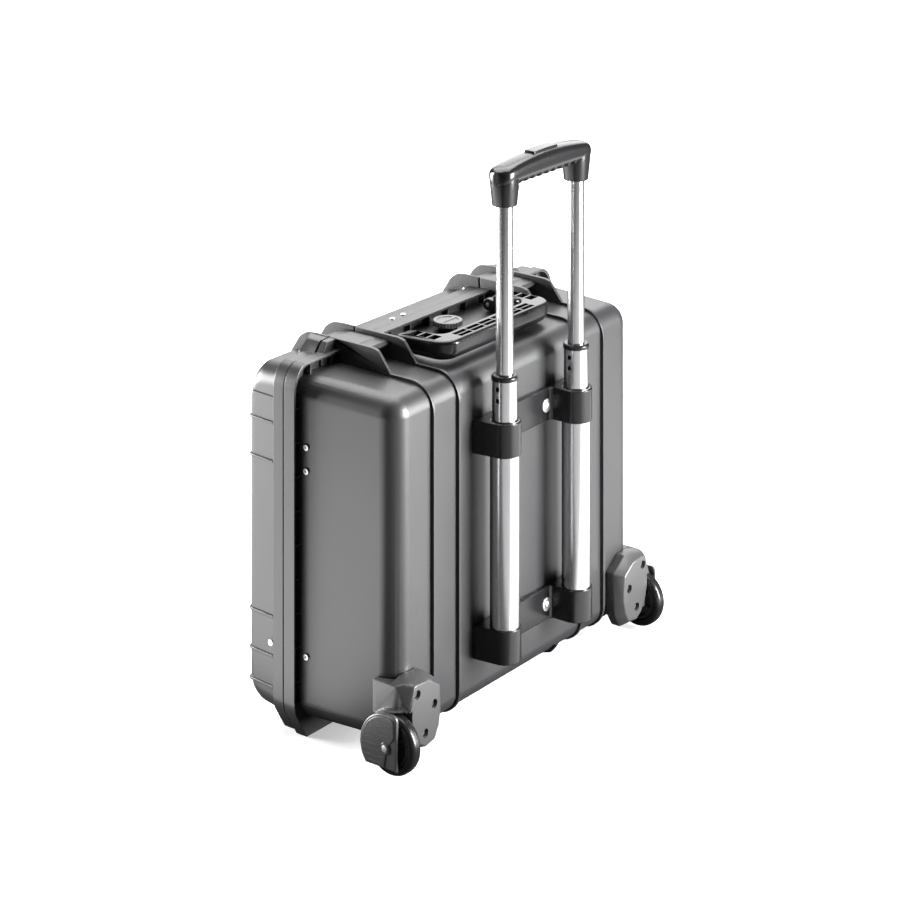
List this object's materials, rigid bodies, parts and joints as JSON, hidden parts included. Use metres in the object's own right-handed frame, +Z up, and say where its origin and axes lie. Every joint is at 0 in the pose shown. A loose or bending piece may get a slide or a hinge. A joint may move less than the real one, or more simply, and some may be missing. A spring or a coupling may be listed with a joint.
{
  "type": "wheeled hard equipment case",
  "caption": "Ribbed hard-shell equipment case with hinged lid, latches, folding carry handle, purge valve, telescoping trolley handle and two guarded wheels.",
  "frame": {"origin": "floor level under the middle of the case's bounding box, standing upright on its hinge edge", "axes": "+X to one side, -Y to the lid, +Y to the trolley, +Z up"},
  "size_m": [0.5422, 0.2726, 0.6734],
  "materials": {
    "shell_plastic": "fine-textured charcoal grey moulded shell",
    "black_plastic": "glossy black moulded plastic",
    "knob_plastic": "satin grey moulded plastic",
    "seal_rubber": "soft black seal rubber",
    "tyre_rubber": "smooth black tyre rubber with a soft shine",
    "bright_metal": "bright plated steel",
    "satin_aluminium": "satin anodised aluminium",
    "dark_metal": "blackened steel screws"
  },
  "bodies": {
    "base": {"base_shell": "shell_plastic", "hinge_pins": "bright_metal", "handle_pins": "bright_metal", "valve_body": "black_plastic", "upper_bracket": "black_plastic", "lower_bracket": "black_plastic", "bracket_rivets": "bright_metal", "outer_sleeve_left": "satin_aluminium", "outer_sleeve_right": "satin_aluminium", "sleeve_bushes": "black_plastic", "wheel_housing_left": "shell_plastic", "wheel_housing_right": "shell_plastic", "wheel_guard_left": "shell_plastic", "wheel_guard_right": "shell_plastic", "wheel_axles": "bright_metal", "housing_screws": "dark_metal", "side_rivets": "bright_metal"},
    "lid": {"lid_shell": "shell_plastic", "lid_gasket": "seal_rubber", "latch_pins": "bright_metal", "lid_rivets": "bright_metal"},
    "left_latch": {"latch_left": "shell_plastic"},
    "right_latch": {"latch_right": "shell_plastic"},
    "handle": {"carry_handle": "black_plastic"},
    "knob": {"valve_knob": "knob_plastic"},
    "mid_stage": {"mid_tube_left": "satin_aluminium", "mid_tube_right": "satin_aluminium", "mid_collars": "black_plastic"},
    "inner_stage": {"inner_tube_left": "satin_aluminium", "inner_tube_right": "satin_aluminium", "inner_guides": "black_plastic", "lock_pins": "bright_metal", "trolley_grip": "black_plastic"},
    "button": {"grip_button": "black_plastic", "release_rods": "bright_metal"},
    "wheel_left": {"hub_left": "black_plastic", "tyre_left": "tyre_rubber"},
    "wheel_right": {"hub_right": "black_plastic", "tyre_right": "tyre_rubber"}
  },
  "joints": [
    {"name": "lid_hinge", "type": "hinge", "parent": "base", "child": "lid", "pos_m": [0, -0.0697, 0.005], "axis": [1, 0, 0], "range_deg": [0, 95]},
    {"name": "left_latch_hinge", "type": "hinge", "parent": "lid", "child": "left_latch", "pos_m": [-0.1502, -0.0926, 0.4318], "axis": [1, 0, 0], "range_deg": [0, 95]},
    {"name": "right_latch_hinge", "type": "hinge", "parent": "lid", "child": "right_latch", "pos_m": [0.1502, -0.0926, 0.4318], "axis": [1, 0, 0], "range_deg": [0, 95]},
    {"name": "carry_handle_hinge", "type": "hinge", "parent": "base", "child": "handle", "pos_m": [0, -0.028, 0.4345], "axis": [1, 0, 0], "range_deg": [0, 90]},
    {"name": "valve_knob_turn", "type": "hinge", "parent": "base", "child": "knob", "pos_m": [0, -0.0256, 0.434], "axis": [0, 0, 1], "range_deg": [0, 180]},
    {"name": "mid_stage_slide", "type": "slide", "parent": "base", "child": "mid_stage", "axis": [0, 0, 1], "range_m": [-0.042, 0.17]},
    {"name": "inner_stage_slide", "type": "slide", "parent": "mid_stage", "child": "inner_stage", "axis": [0, 0, 1], "range_m": [-0.196, 0]},
    {"name": "button_press", "type": "slide", "parent": "inner_stage", "child": "button", "axis": [0, 0, -1], "range_m": [0, 0.004], "stiffness_N_per_m": 600, "springref_m": -0.002},
    {"name": "left_wheel_spin", "type": "hinge", "parent": "base", "child": "wheel_left", "pos_m": [-0.2528, 0.0914, 0.0394], "axis": [1, 0, 0], "continuous": true},
    {"name": "right_wheel_spin", "type": "hinge", "parent": "base", "child": "wheel_right", "pos_m": [0.2528, 0.0914, 0.0394], "axis": [1, 0, 0], "continuous": true}
  ]
}
